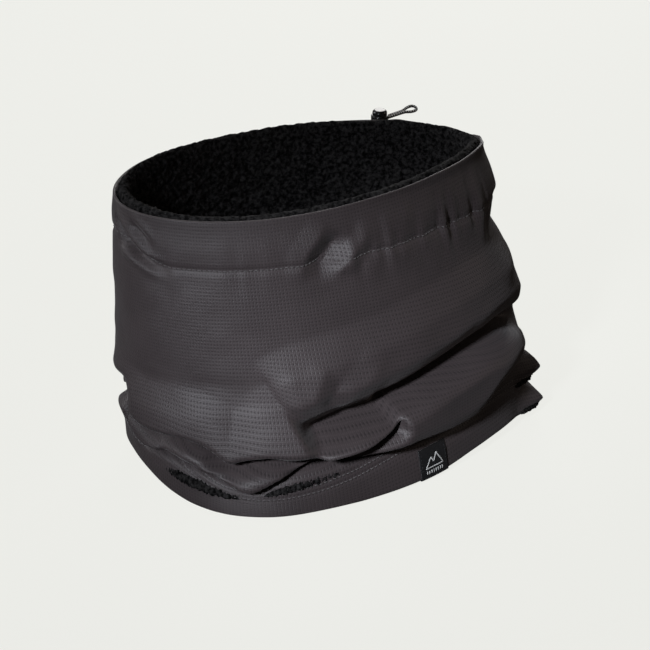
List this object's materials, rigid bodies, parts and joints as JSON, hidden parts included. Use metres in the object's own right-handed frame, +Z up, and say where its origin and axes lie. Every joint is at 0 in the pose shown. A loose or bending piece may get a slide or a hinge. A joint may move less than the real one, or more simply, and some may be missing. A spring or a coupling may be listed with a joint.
{
  "type": "neck gaiter",
  "caption": "Wide lined fabric neck gaiter with a drawcord channel round the collar, an elastic loop with a spring cord lock at the back, and a woven label folded round the hem.",
  "frame": {"origin": "centre of the tube's box, on the surface that the hem rests on; the free cord and its lock are not counted", "axes": "+X along the long side of the oval, towards the side that the drawcord loop points to; the front with the label is -Y; +Z up through the collar"},
  "size_m": [0.2763, 0.1866, 0.1822],
  "materials": {
    "shell_cloth": "matt charcoal woven polyester with fine ribs",
    "pile_lining": "bumpy black pile",
    "label_weave": null,
    "grey_thread": "twisted grey thread",
    "black_thread": "twisted black thread",
    "elastic_cord": "braided black cord with pale flecks",
    "lock_plastic": "glossy black moulding",
    "eyelet_metal": "black coated pressed ring",
    "spring_steel": "plain drawn wire"
  },
  "bodies": {
    "gaiter": {"outer_shell": "shell_cloth", "fleece_lining": "pile_lining", "hem_label": "label_weave", "hem_label_tacks": "black_thread", "channel_topstitch": "grey_thread", "hem_topstitch": "grey_thread", "back_seam_thread": "black_thread", "lining_seam_thread": "black_thread", "cord_eyelet": "eyelet_metal", "drawcord_channel_run": "elastic_cord", "drawcord_loop": "elastic_cord"},
    "cord_lock": {"lock_barrel": "lock_plastic", "lock_spring": "spring_steel"},
    "plunger": {"lock_plunger": "lock_plastic"}
  },
  "joints": [
    {"name": "lock_slide", "type": "slide", "parent": "gaiter", "child": "cord_lock", "axis": [0.9563, 0.2924, 0], "range_m": [0, 0.012]},
    {"name": "plunger_press", "type": "slide", "parent": "cord_lock", "child": "plunger", "axis": [0, 0, -1], "range_m": [0, 0.002], "stiffness_N_per_m": 400, "springref_m": -0.002, "deforming": ["lock_spring"]}
  ]
}
